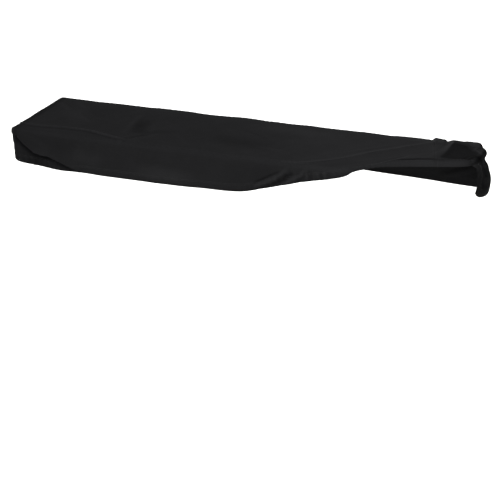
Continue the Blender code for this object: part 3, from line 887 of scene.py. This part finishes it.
# How a seam's edge turns in: distance from the seam and depth, in shares of the cloth
SEAM_TURN = ((1.90, 0.00), (1.10, 0.10), (0.74, 0.38), (0.58, 1.00), (0.57, 3.20))
# How much nearer it comes at its two ends, and over how many stations it gets there
SEAM_END_CLOSE = 0.56
SEAM_END_STATIONS = 4.0
# Rows lie closer near two edges of the form at once, and near the turned fold
EDGE_ZONE = 0.012
EDGE_WEIGHT = 1.7
FOLD_ZONE = 0.009
FOLD_WEIGHT = 2.4


@dataclass
class Sheet:
    """One cut piece of knit: its grid of places on the unrolled cloth, and how it is made."""

    name: str
    node: str
    drape: Drape
    seams: tuple[Side, ...]
    cut: tuple[float, float]
    step: float = 0.0032
    cloth: float = 0.0013
    samples: int = 72
    laid: tuple[Array, Array] | None = field(default=None, init=False, repr=False)

    def places(self) -> Array:
        """Gives the sheet's places; each sheet has its own."""
        raise NotImplementedError

    def even(self, path: Callable[[float], Array], rows: int) -> Array:
        """Spaces rows along a path, closer together at the form's edges and the turned fold.

        Args:
            path: from the hem to the upper seam.
            rows: how many rows.

        Returns:
            rows + 1 places.
        """
        f = np.linspace(0.0, 1.0, self.samples)
        fine = np.array([path(value) for value in f])
        middle = self.drape.form.under(*((fine[1:] + fine[:-1]) / 2).T)
        near = ((END - np.abs(middle[:, 0]) < EDGE_ZONE).astype(int)
                + (HALF_DEPTH - np.abs(middle[:, 1]) < EDGE_ZONE)
                + (TOP - middle[:, 2] < EDGE_ZONE))
        weight = np.where(near > 1, EDGE_WEIGHT, 1.0)
        line = TOP + np.interp(middle[:, 0], [t.x for t in TURN], [t.across for t in TURN])
        turned = (np.abs(middle[:, 2] - line) < FOLD_ZONE) & (middle[:, 0] < TURN[-1].x)
        total = run_along(fine, np.where(turned, FOLD_WEIGHT, weight))
        at = np.interp(np.linspace(0.0, total[-1], rows + 1), total, f)
        return np.array([path(value) for value in at])

    def turn_seams(self, grid: Array) -> tuple[Array, Array, Array]:
        """Adds the rows at the sheet's seams that turn in to the wrong side.

        Args:
            grid: the sheet's places.

        Returns:
            The places, their depths, and the places whose way out they turn in along.
        """
        depth = np.zeros(grid.shape[:2])
        way = grid.copy()
        for side in self.seams:
            if side in (Side.HEM, Side.UPPER):
                grid, depth, way = (np.swapaxes(a, 0, 1) for a in (grid, depth, way))
            flip = side in (Side.LAST, Side.UPPER)
            if flip:
                grid, depth, way = grid[::-1], depth[::-1], way[::-1]
            edge, inner = grid[0], grid[1]
            run = inner - edge
            run /= np.maximum(np.linalg.norm(run, axis=1, keepdims=True), 1e-9)
            squeeze = self.squeeze(edge, run)
            count = len(edge)
            from_end = np.minimum(np.arange(count), np.arange(count)[::-1])
            taper = np.clip(from_end / SEAM_END_STATIONS, 0.0, 1.0)
            taper = taper * self.drape.seam_depth(edge)
            new_places, new_depths = [], []
            for away, down in SEAM_TURN:
                reach = away - SEAM_END_CLOSE * (1.0 - taper)
                new_places.append(edge + run * (reach * self.cloth / squeeze)[:, None])
                new_depths.append(np.maximum(depth[0], down * self.cloth * taper))
            new_places, new_depths = new_places[::-1], new_depths[::-1]
            grid = np.concatenate([new_places, grid[1:]])
            depth = np.concatenate([new_depths, depth[1:]])
            way = np.concatenate([[edge] * len(SEAM_TURN), way[1:]])
            if flip:
                grid, depth, way = grid[::-1], depth[::-1], way[::-1]
            if side in (Side.HEM, Side.UPPER):
                grid, depth, way = (np.swapaxes(a, 0, 1) for a in (grid, depth, way))
        return grid, depth, way

    def squeeze(self, edge: Array, run: Array) -> Array:
        """Measures how long a small move in from an edge gets on the laid cloth.

        Args:
            edge: places along the edge.
            run: the ways in from it.

        Returns:
            Lengths on the laid cloth, as shares of the move.
        """
        small = 0.0012
        none = np.zeros(len(edge))
        a, _ = self.drape.lay(*(edge + run * 1e-5).T, none)
        b, _ = self.drape.lay(*(edge + run * small).T, none)
        return np.clip(np.linalg.norm(b - a, axis=1) / small, 0.35, 2.5)

    def build(self) -> bpy.types.Object:
        """Makes the sheet as a grid primitive that is laid in its folds and given its cloth.

        Returns:
            The finished sheet.
        """
        grid, depth, way = self.turn_seams(self.places())
        _, out = self.drape.form.rounded(self.drape.form.under(way[..., 0], way[..., 1]))
        points, wear_and_light = self.drape.lay(grid[..., 0], grid[..., 1], depth, out)
        self.laid = points, out
        columns, rows = grid.shape[:2]
        bpy.ops.object.select_all(action="DESELECT")
        bpy.ops.mesh.primitive_grid_add(x_subdivisions=rows - 1, y_subdivisions=columns - 1,
                                        size=1.0)
        sheet = bpy.context.object
        sheet.name = self.name
        mesh = sheet.data
        mesh.name = self.name
        mesh.vertices.foreach_set("co", points.reshape(-1).astype(np.float32))
        unrolled = grid.reshape(-1, 2)
        corner = np.zeros(len(mesh.loops), np.int32)
        mesh.loops.foreach_get("vertex_index", corner)
        mesh.uv_layers.active.data.foreach_set("uv", unrolled[corner].reshape(-1))
        # Paleness per point: the knit's greying on ridges, with painted light and shade
        mesh.attributes.new("wear_and_light", "FLOAT", "POINT").data.foreach_set(
            "value", wear_and_light.reshape(-1).astype(np.float32))
        mesh.update()
        self.face_outward(sheet, points, out)
        solid = sheet.modifiers.new("cloth", "SOLIDIFY")
        solid.thickness = self.cloth
        solid.offset = 0.0
        solid.use_rim = True
        bpy.ops.object.modifier_apply(modifier=solid.name)
        bpy.ops.object.shade_smooth_by_angle(angle=math.radians(75))
        return sheet

    def face_outward(self, sheet: bpy.types.Object, points: Array, out: Array) -> None:
        """Turns the sheet's faces to the side that the form's ways out point to.

        Args:
            sheet: the sheet, as the active object.
            points: its points.
            out: the ways out there.
        """
        mesh = sheet.data
        normals = np.zeros(len(mesh.vertices) * 3, np.float32)
        mesh.vertices.foreach_get("normal", normals)
        if (normals.reshape(-1, 3) * out.reshape(-1, 3)).sum() < 0:
            bpy.ops.object.mode_set(mode="EDIT")
            bpy.ops.mesh.select_all(action="SELECT")
            bpy.ops.mesh.flip_normals()
            bpy.ops.object.mode_set(mode="OBJECT")

    def finish(self, knit: "BlackKnit") -> bpy.types.Object:
        """Builds and dresses the sheet, hangs it on the root and hides the CAD part that it stands
        for.

        Args:
            knit: its finish.

        Returns:
            The sheet.
        """
        sheet = self.build()
        sheet.data.materials.clear()
        sheet.data.materials.append(knit.material())
        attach(sheet, "root")
        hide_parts(self.node)
        LOG.info("%s: %d faces", self.name, len(sheet.data.polygons))
        return sheet


@dataclass
class TopPanel(Sheet):
    """The top panel, from the front skirt's seam to the back edge."""

    rows: int = 82

    def places(self) -> Array:
        """Gives places from the front seam to the back edge.

        Returns:
            Stations by rows by (x, across).
        """
        u = stations(FRONT, ("hem_x", "seam_across"), self.step)
        seam = places_of(FRONT, "seam", u)
        back = np.stack([smooth(FRONT, "back_x", u), np.full_like(u, BACK)], 1)
        return np.array([self.even(straight(a, b), self.rows) for a, b in zip(seam, back)])


@dataclass
class FrontSkirt(Sheet):
    """The front skirt, from its hem to the top panel's seam."""

    rows: int = 66

    def places(self) -> Array:
        """Gives places from the hem to the seam.

        Returns:
            Stations by rows by (x, across).
        """
        u = stations(FRONT, ("hem_x", "seam_across"), self.step)
        ends = zip(places_of(FRONT, "hem", u), places_of(FRONT, "seam", u))
        return np.array([self.even(straight(a, b), self.rows) for a, b in ends])


@dataclass
class BackSkirt(Sheet):
    """The back skirt, from its hem to the back edge."""

    rows: int = 38

    def places(self) -> Array:
        """Gives places from the hem to the back edge.

        Returns:
            Stations by rows by (x, across).
        """
        x = np.linspace(-END, END, round(2 * END / self.step))
        fall = read(BACK_HEM, x)
        return np.array([self.even(straight((a, BACK + f), (a, BACK)), self.rows)
                         for a, f in zip(x, fall)])


@dataclass
class LeftEnd(Sheet):
    """The left end piece, from its hem to the left edge."""

    rows: int = 36

    def places(self) -> Array:
        """Gives places from the hem to the left edge.

        Returns:
            Stations by rows by (x, across).
        """
        across = np.linspace(0.0, BACK, round(BACK / self.step))
        fall = read(LEFT_HEM, across)
        return np.array([self.even(straight((-END - f, a), (-END - 1e-7, a)), self.rows)
                         for a, f in zip(across, fall)])


@dataclass
class RightEnd(Sheet):
    """The right end piece, drawn back over the top and hanging down the end as a lobe."""

    rows: int = 66

    def places(self) -> Array:
        """Gives places from the hem to the top and corner seams.

        Returns:
            Stations by rows by (x, across).
        """
        u = stations(RIGHT, ("hem_x", "top_x"), self.step * 0.8)
        hem, middle = places_of(RIGHT, "hem", u), places_of(RIGHT, "mid", u)
        top = np.stack([level(RIGHT, "top_x", u), level(RIGHT, "top_across", u)], 1)
        return np.array([self.even(bowed(a, b, c), self.rows)
                         for a, b, c in zip(hem, middle, top)])


@dataclass
class HemStitching:
    """Two rows of thread along a sheet's hem, as a twin needle sews them on stretch cloth."""

    # The rows' distances from the hem, then one stitch's length, spacing and half thickness, how
    # far the rows stop from a hem's ends, and how deep a stitch sinks in
    hems: tuple[Side, ...] = (Side.HEM,)
    rows: tuple[float, float] = (0.0190, 0.0232)
    stitch: float = 0.0029
    pitch: float = 0.0038
    thread: float = 0.00042
    margin: float = 0.010
    sink: float = 0.00010

    def one_stitch(self) -> tuple[Array, list[list[int]]]:
        """Models one stitch along X, as a short bar of thread whose ends dip into the cloth.

        Returns:
            Its points and faces.
        """
        bpy.ops.object.select_all(action="DESELECT")
        bpy.ops.mesh.primitive_cylinder_add(vertices=6, radius=self.thread, depth=self.stitch,
                                            rotation=(0.0, math.pi / 2, 0.0))
        bar = bpy.context.object
        bpy.ops.object.transform_apply(location=False, rotation=True, scale=False)
        bpy.ops.object.mode_set(mode="EDIT")
        bpy.ops.mesh.select_all(action="SELECT")
        bpy.ops.mesh.bisect(plane_co=(-self.stitch / 4, 0, 0), plane_no=(1, 0, 0))
        bpy.ops.mesh.select_all(action="SELECT")
        bpy.ops.mesh.bisect(plane_co=(self.stitch / 4, 0, 0), plane_no=(1, 0, 0))
        bpy.ops.object.mode_set(mode="OBJECT")
        points = np.array([tuple(v.co) for v in bar.data.vertices])
        points[np.abs(points[:, 0]) > self.stitch * 0.4, 2] -= 1.6 * self.thread
        faces = [list(p.vertices) for p in bar.data.polygons]
        mesh = bar.data
        bpy.data.objects.remove(bar)
        bpy.data.meshes.remove(mesh)
        return points, faces

    def line(self, points: Array, out: Array, distance: float) -> tuple[Array, Array]:
        """Finds the line on a sheet that runs a distance in from its hem.

        Args:
            points: the sheet's points, by station from the hem.
            out: the ways out there.
            distance: the distance from the hem.

        Returns:
            The line's points and its ways out.
        """
        spot, way = [], []
        for column, outs in zip(points, out):
            run = run_along(column)
            spot.append(read_points(distance, run, column))
            way.append(read_points(distance, run, outs))
        return np.array(spot), np.array(way)

    def sew(self, sheet: Sheet, thread: "SewingThread") -> bpy.types.Object:
        """Sews a sheet's hems.

        Args:
            sheet: the sheet, already built.
            thread: the thread's finish.

        Returns:
            All its stitches as one piece.
        """
        bar, faces = self.one_stitch()
        points, out = sheet.laid
        found = []
        for side in self.hems:
            p, o = (points, out) if side is Side.HEM else (
                points.swapaxes(0, 1)[:, ::-1], out.swapaxes(0, 1)[:, ::-1])
            for distance in self.rows:
                line, way = self.line(p, o, distance)
                run = run_along(line)
                count = int((run[-1] - 2 * self.margin) / self.pitch)
                at = self.margin + self.pitch * (np.arange(count) + 0.5)
                half = self.stitch / 2
                found.append((read_points(at - half, run, line),
                              read_points(at + half, run, line), read_points(at, run, way)))
        a, b, n = (np.concatenate(parts) for parts in zip(*found))
        ahead = (b - a) / np.linalg.norm(b - a, axis=1, keepdims=True)
        n -= (n * ahead).sum(1, keepdims=True) * ahead
        n /= np.linalg.norm(n, axis=1, keepdims=True)
        across = np.cross(n, ahead)
        middle = (a + b) / 2 + n * (sheet.cloth / 2 - self.sink)
        turn = np.stack([ahead, across, n], 1)
        all_points = (bar @ turn + middle[:, None]).reshape(-1, 3)
        size = len(bar)
        all_faces = [[v + i * size for v in face] for i in range(len(a)) for face in faces]
        mesh = bpy.data.meshes.new(sheet.name.replace("cloth", "hem_stitches"))
        mesh.from_pydata(all_points.tolist(), [], all_faces)
        stitches = bpy.data.objects.new(mesh.name, mesh)
        bpy.context.collection.objects.link(stitches)
        mesh.materials.append(thread.material())
        mesh.shade_smooth()
        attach(stitches, "root")
        LOG.info("%s: %d stitches", mesh.name, len(a))
        return stitches


def linear(code: str) -> tuple[float, float, float, float]:
    """Turns an sRGB hex value into a linear colour.

    Args:
        code: the hex value, such as "#202020".

    Returns:
        Linear red, green and blue, with an alpha of 1.
    """
    parts = [int(code[i:i + 2], 16) / 255 for i in (1, 3, 5)]
    red, green, blue = (p / 12.92 if p <= 0.04045 else ((p + 0.055) / 1.055) ** 2.4 for p in parts)
    return red, green, blue, 1.0


# A Mix node's colour sockets, whose names its other sockets share
MIX_A, MIX_B, MIX_OUT = 6, 7, 2


def add_node(tree: bpy.types.NodeTree, kind: str, settings: dict | None = None,
             links: dict | None = None) -> bpy.types.Node:
    """Adds a shader node with its settings and links.

    Args:
        tree: the node tree.
        kind: the node's type name.
        settings: values for its properties, or for its inputs by name or number.
        links: the output that feeds each input, by the input's name or number.

    Returns:
        The node.
    """
    node = tree.nodes.new(kind)
    for key, value in (settings or {}).items():
        if isinstance(key, str) and hasattr(node, key):
            setattr(node, key, value)
        else:
            node.inputs[key].default_value = value
    for key, output in (links or {}).items():
        tree.links.new(output, node.inputs[key])
    return node


@dataclass(frozen=True)
class BlackKnit:
    """Polyester and elastane jersey, knitted fine, dyed black and heat-set."""

    # To the eye: a flat, matte near-black with no gloss and a soft fine grain. It is drawn greyer
    # on ridges and edges, where the loops open and as painted light, and darker in hollows as
    # painted shade.
    name: str = "black_stretch_knit"
    deep: str = "#050505"
    pale: str = "#0b0b0c"
    wear_and_light: str = "#242425"
    roughness: float = 0.9
    # Loops trap the light, so next to nothing of a filament's own gloss is left
    ior: float = 1.45
    specular: float = 0.004
    sheen: float = 0.001
    sheen_roughness: float = 0.6
    wale_mm: float = 2.4
    mottle_mm: float = 26.0
    lint_mm: float = 1.9
    bump_mm: float = 0.12

    def material(self) -> bpy.types.Material:
        """Gives the finish's material, made once.

        Returns:
            The material.
        """
        made = bpy.data.materials.get(self.name)
        if made:
            return made
        material = bpy.data.materials.new(self.name)
        material.use_nodes = True
        tree = material.node_tree
        shader = tree.nodes["Principled BSDF"]
        shader.inputs["Roughness"].default_value = self.roughness
        shader.inputs["IOR"].default_value = self.ior
        shader.inputs["Specular IOR Level"].default_value = self.specular
        shader.inputs["Sheen Weight"].default_value = self.sheen
        shader.inputs["Sheen Roughness"].default_value = self.sheen_roughness
        uv = add_node(tree, "ShaderNodeUVMap", {"uv_map": "UVMap"})
        # Uneven dye and handling: clouds about as wide as a fingertip's stroke
        place = add_node(tree, "ShaderNodeTexCoord")
        mottle = add_node(tree, "ShaderNodeTexNoise",
                          {"Scale": 1000 / self.mottle_mm, "Detail": 4.0, "Roughness": 0.6},
                          {"Vector": place.outputs["Object"]})
        # Fuzz of broken filaments, some tenths of a millimetre wide in truth, drawn coarser to show
        lint = add_node(tree, "ShaderNodeTexNoise",
                        {"Scale": 1000 / self.lint_mm, "Detail": 2.0, "Roughness": 0.7},
                        {"Vector": place.outputs["Object"]})
        speck = add_node(tree, "ShaderNodeMath", {"operation": "MULTIPLY", 1: 0.3},
                         {0: lint.outputs["Fac"]})
        blend = add_node(tree, "ShaderNodeMath", {"operation": "MULTIPLY_ADD", 1: 0.7},
                         {0: mottle.outputs["Fac"], 2: speck.outputs[0]})
        shade = add_node(tree, "ShaderNodeMix", {"data_type": "RGBA", MIX_A: linear(self.deep),
                                                 MIX_B: linear(self.pale)},
                         {0: blend.outputs[0]})
        # Paler on ridges, where stretched loops open and as painted light; darker in hollows, as
        # painted shade
        wear_and_light_attr = add_node(tree, "ShaderNodeAttribute", {"attribute_name": "wear_and_light"})
        ridge = add_node(tree, "ShaderNodeMapRange",
                         {"From Min": 0.0, "From Max": 1.0, "To Min": 0.0, "To Max": 0.8},
                         {"Value": wear_and_light_attr.outputs["Fac"]})
        rubbed_and_lit = add_node(tree, "ShaderNodeMix", {"data_type": "RGBA", MIX_B: linear(self.wear_and_light)},
                          {0: ridge.outputs["Result"], MIX_A: shade.outputs[MIX_OUT]})
        tree.links.new(rubbed_and_lit.outputs[MIX_OUT], shader.inputs["Base Color"])
        # Columns and rows of loops: about 0.8 mm apart in truth, too fine to show, so they are
        # drawn at 2.4 mm and 1.9 mm
        wales = add_node(tree, "ShaderNodeTexWave",
                         {"wave_type": "BANDS", "bands_direction": "X",
                          "Scale": 1000 / self.wale_mm / 20 * math.pi, "Distortion": 0.6,
                          "Detail": 1.0, "Detail Scale": 2.0},
                         {"Vector": uv.outputs["UV"]})
        courses = add_node(tree, "ShaderNodeTexWave",
                           {"wave_type": "BANDS", "bands_direction": "Y",
                            "Scale": 1000 / (self.wale_mm * 0.8) / 20 * math.pi,
                            "Distortion": 0.6, "Detail": 1.0, "Detail Scale": 2.0},
                           {"Vector": uv.outputs["UV"]})
        loops = add_node(tree, "ShaderNodeMath", {"operation": "MULTIPLY"},
                         {0: wales.outputs["Fac"], 1: courses.outputs["Fac"]})
        relief = add_node(tree, "ShaderNodeMath", {"operation": "MULTIPLY_ADD", 1: 0.6},
                          {0: lint.outputs["Fac"], 2: loops.outputs[0]})
        bump = add_node(tree, "ShaderNodeBump", {"Strength": 0.5, "Distance": self.bump_mm / 1000},
                        {"Height": relief.outputs[0]})
        tree.links.new(bump.outputs["Normal"], shader.inputs["Normal"])
        return material


@dataclass(frozen=True)
class SewingThread:
    """Spun polyester sewing thread, dyed black and waxed."""

    # To the eye: a short dark line, a touch paler and smoother than the cloth around it.
    name: str = "black_sewing_thread"
    dark: str = "#0b0b0c"
    light: str = "#1d1d1f"
    roughness: float = 0.62
    specular: float = 0.1
    twist_mm: float = 0.6

    def material(self) -> bpy.types.Material:
        """Gives the finish's material, made once.

        Returns:
            The material.
        """
        made = bpy.data.materials.get(self.name)
        if made:
            return made
        material = bpy.data.materials.new(self.name)
        material.use_nodes = True
        tree = material.node_tree
        shader = tree.nodes["Principled BSDF"]
        shader.inputs["Roughness"].default_value = self.roughness
        shader.inputs["Specular IOR Level"].default_value = self.specular
        place = add_node(tree, "ShaderNodeTexCoord")
        # The ply's twist, too fine to show from a step away, so it only breaks up the tone
        ply = add_node(tree, "ShaderNodeTexNoise", {"Scale": 1000 / self.twist_mm, "Detail": 1.0},
                       {"Vector": place.outputs["Object"]})
        tone = add_node(tree, "ShaderNodeMix", {"data_type": "RGBA", MIX_A: linear(self.dark),
                                                MIX_B: linear(self.light)},
                        {0: ply.outputs["Fac"]})
        tree.links.new(tone.outputs[MIX_OUT], shader.inputs["Base Color"])
        return material


@dataclass(frozen=True)
class PaleFloor:
    """Seamless background paper, uncoated: an even, matte white."""

    name: str = "studio_paper"
    colour: str = "#f4f4f2"
    roughness: float = 0.95

    def material(self) -> bpy.types.Material:
        """Gives the paper's material.

        Returns:
            The material.
        """
        material = bpy.data.materials.new(self.name)
        material.use_nodes = True
        shader = material.node_tree.nodes["Principled BSDF"]
        shader.inputs["Base Color"].default_value = linear(self.colour)
        shader.inputs["Roughness"].default_value = self.roughness
        return material


@dataclass
class Studio:
    """The floor, the soft lights, the pale surround and the camera."""

    floor_z: float = -0.775
    floor_size: float = 40.0
    surround: float = 0.25
    key_towards: tuple[float, float, float] = (0.62, 0.50, -0.66)
    key_strength: float = 7.5
    key_softness: float = math.radians(46)
    fill_towards: tuple[float, float, float] = (0.42, -0.72, -0.50)
    fill_strength: float = 1.3
    fill_softness: float = math.radians(60)
    camera_at: tuple[float, float, float] = (1.96634, -4.02304, 1.63314)
    camera_right: tuple[float, float, float] = (0.90621833, 0.42075205, -0.04166594)
    camera_up: tuple[float, float, float] = (-0.1354224, 0.38219493, 0.91410492)
    lens_mm: float = 124.06
    sensor_mm: float = 36.0

    def floor(self) -> None:
        """Lays the pale floor."""
        bpy.ops.object.select_all(action="DESELECT")
        bpy.ops.mesh.primitive_plane_add(size=self.floor_size, location=(0, 0, self.floor_z))
        floor = bpy.context.object
        floor.name = "studio_floor"
        floor.data.materials.append(PaleFloor().material())

    def light(self, name: str, towards: Sequence[float], strength: float,
              softness: float) -> None:
        """Adds a wide, soft light.

        Args:
            name: its name.
            towards: the way it shines.
            strength: its strength.
            softness: the angle that it seems to fill.
        """
        bpy.ops.object.light_add(type="SUN", location=tuple(-4.0 * v for v in towards))
        light = bpy.context.object
        light.name = name
        light.data.energy = strength
        light.data.angle = softness
        light.rotation_euler = Vector(towards).to_track_quat("-Z", "Y").to_euler()

    def camera(self) -> None:
        """Stands the camera at the photo's viewing angle."""
        data = bpy.data.cameras.new("photo_view")
        camera = bpy.data.objects.new("photo_view", data)
        bpy.context.collection.objects.link(camera)
        right, up = Vector(self.camera_right), Vector(self.camera_up)
        back = right.cross(up)
        turn = Matrix((right, up, back)).transposed().to_4x4()
        camera.matrix_world = Matrix.Translation(self.camera_at) @ turn
        data.lens = self.lens_mm
        data.sensor_width = self.sensor_mm
        data.clip_end = 100.0
        bpy.context.scene.camera = camera

    def build(self) -> None:
        """Sets up the whole studio."""
        self.floor()
        self.light("key_from_front_left", self.key_towards, self.key_strength,
                   self.key_softness)
        self.light("fill_from_back_left", self.fill_towards, self.fill_strength,
                   self.fill_softness)
        self.camera()
        world = bpy.data.worlds.new("pale_surround")
        world.use_nodes = True
        shade = world.node_tree.nodes["Background"]
        shade.inputs["Color"].default_value = (1.0, 1.0, 1.0, 1.0)
        shade.inputs["Strength"].default_value = self.surround
        bpy.context.scene.world = world
        bpy.context.scene.view_settings.view_transform = "Standard"


def main() -> None:
    """Builds the cover's sheets, dresses them and sets up the studio."""
    logging.basicConfig(level=logging.INFO)
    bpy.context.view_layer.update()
    form = Form()
    drape = Drape(form, Lines.of(form))
    knit = BlackKnit()
    all_but_hem = (Side.FIRST, Side.LAST, Side.UPPER)
    sheets = (
        TopPanel("top_cloth", "top_panel", drape,
                 (Side.FIRST, Side.LAST, Side.HEM, Side.UPPER), (1.240, 0.265)),
        FrontSkirt("front_cloth", "front_skirt", drape, all_but_hem, (1.240, 0.130)),
        BackSkirt("back_cloth", "back_skirt", drape, all_but_hem, (1.240, 0.115)),
        LeftEnd("left_end_cloth", "left_end", drape, all_but_hem, (0.265, 0.110)),
        RightEnd("right_end_cloth", "right_end", drape, (Side.FIRST, Side.UPPER),
                 (0.265, 0.130)),
    )
    hems = {
        "front_cloth": HemStitching(),
        "back_cloth": HemStitching(),
        "left_end_cloth": HemStitching(),
        "right_end_cloth": HemStitching((Side.HEM, Side.LAST), margin=0.024),
    }
    thread = SewingThread()
    for sheet in sheets:
        cloth = sheet.finish(knit)
        sewn = [hems[sheet.name].sew(sheet, thread)] if sheet.name in hems else []
    Studio().build()


if __name__ == "__main__":
    main()
